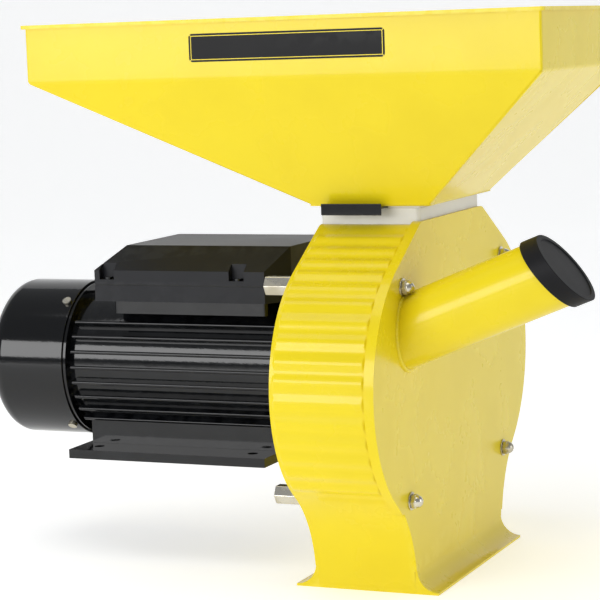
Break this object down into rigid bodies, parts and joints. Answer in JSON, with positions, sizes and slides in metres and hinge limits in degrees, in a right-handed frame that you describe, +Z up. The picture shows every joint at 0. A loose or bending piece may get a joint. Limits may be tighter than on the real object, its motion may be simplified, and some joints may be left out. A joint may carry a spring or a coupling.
{
  "type": "hammer mill",
  "caption": "Electric hammer mill with a square sheet hopper, sliding shutter, upright milling chamber, slanted inlet tube with cap, and finned foot-mounted motor.",
  "frame": {"origin": "middle of the open base of the milling chamber, on the plane of its flanges", "axes": "+X along the motor shaft towards the front cover, +Z up, +Y to the left when looking along +X"},
  "size_m": [0.5733, 0.3852, 0.4715],
  "materials": {
    "yellow_paint": "glossy powder coat",
    "neck_paint": "light grey satin paint",
    "black_paint": "glossy black paint",
    "black_plastic": "satin moulded plastic",
    "grey_plastic": "matt moulded plastic",
    "red_plastic": "glossy",
    "gasket_rubber": "matt",
    "winding_copper": "lacquered wire",
    "bare_aluminium": "drawn",
    "bare_steel": "zinc plated",
    "dark_steel": "hardened, dark"
  },
  "bodies": {
    "root": {"rear_plate": "yellow_paint", "chamber_band": "yellow_paint", "front_cover": "yellow_paint", "inlet_tube": "yellow_paint", "tie_rods": "bare_steel", "dome_nuts": "bare_steel", "cover_washers": "bare_steel", "rear_nuts": "bare_steel", "sieve_screen": "bare_steel", "sieve_rails": "dark_steel", "neck": "neck_paint", "shutter_guides": "neck_paint", "hopper": "yellow_paint", "hopper_bolts": "bare_steel", "motor_barrel": "black_paint", "front_shield": "black_paint", "rear_shield": "black_paint", "shield_bolts": "bare_steel", "stator_core": "dark_steel", "stator_windings": "winding_copper", "front_bearing": "bare_steel", "rear_bearing": "bare_steel", "fan_cover": "black_paint", "fan_cover_screws": "bare_steel", "motor_feet": "black_paint", "terminal_tray": "black_plastic", "box_gasket": "gasket_rubber", "terminal_lid": "black_plastic", "lid_screws": "bare_steel", "start_capacitor": "black_plastic", "run_capacitor": "bare_aluminium", "capacitor_clips": "bare_steel", "terminal_block": "grey_plastic", "cable_gland": "black_plastic", "switch_body": "black_plastic"},
    "rotor": {"motor_shaft": "bare_steel", "shaft_key": "dark_steel", "rotor_hub": "dark_steel", "rotor_discs": "dark_steel", "hammer_pins": "bare_steel", "pin_spacers": "bare_steel", "pin_clips": "bare_steel", "shaft_nut": "bare_steel", "rotor_core": "bare_steel", "cooling_fan": "black_plastic"},
    "hammer_gang_a": {"hammers_a": "dark_steel"},
    "hammer_gang_b": {"hammers_b": "dark_steel"},
    "hammer_gang_c": {"hammers_c": "dark_steel"},
    "hammer_gang_d": {"hammers_d": "dark_steel"},
    "shutter": {"shutter_plate": "black_paint"},
    "cap": {"inlet_cap": "black_plastic"},
    "rocker": {"switch_rocker": "red_plastic"}
  },
  "joints": [
    {"name": "rotor_spin", "type": "hinge", "parent": "root", "child": "rotor", "pos_m": [0, 0, 0.171], "axis": [1, 0, 0], "continuous": true},
    {"name": "hammer_swing_a", "type": "hinge", "parent": "rotor", "child": "hammer_gang_a", "pos_m": [0, 0.03535, 0.20636], "axis": [1, 0, 0], "range_deg": [-10, 280]},
    {"name": "hammer_swing_b", "type": "hinge", "parent": "rotor", "child": "hammer_gang_b", "pos_m": [0, -0.03535, 0.20636], "axis": [1, 0, 0], "range_deg": [-280, 10]},
    {"name": "hammer_swing_c", "type": "hinge", "parent": "rotor", "child": "hammer_gang_c", "pos_m": [0, -0.03535, 0.13564], "axis": [1, 0, 0], "range_deg": [-190, 100]},
    {"name": "hammer_swing_d", "type": "hinge", "parent": "rotor", "child": "hammer_gang_d", "pos_m": [0, 0.03535, 0.13564], "axis": [1, 0, 0], "range_deg": [-100, 190]},
    {"name": "shutter_slide", "type": "slide", "parent": "root", "child": "shutter", "axis": [0, 1, 0], "range_m": [-0.0085, 0.0085]},
    {"name": "cap_lift_off", "type": "slide", "parent": "root", "child": "cap", "axis": [0.9278, 0, 0.373], "range_m": [0, 0.06]},
    {"name": "rocker_tilt", "type": "hinge", "parent": "root", "child": "rocker", "pos_m": [-0.17, 0.06357, 0.2697], "axis": [0, 0.765, -0.644], "range_deg": [-8, 8]}
  ]
}
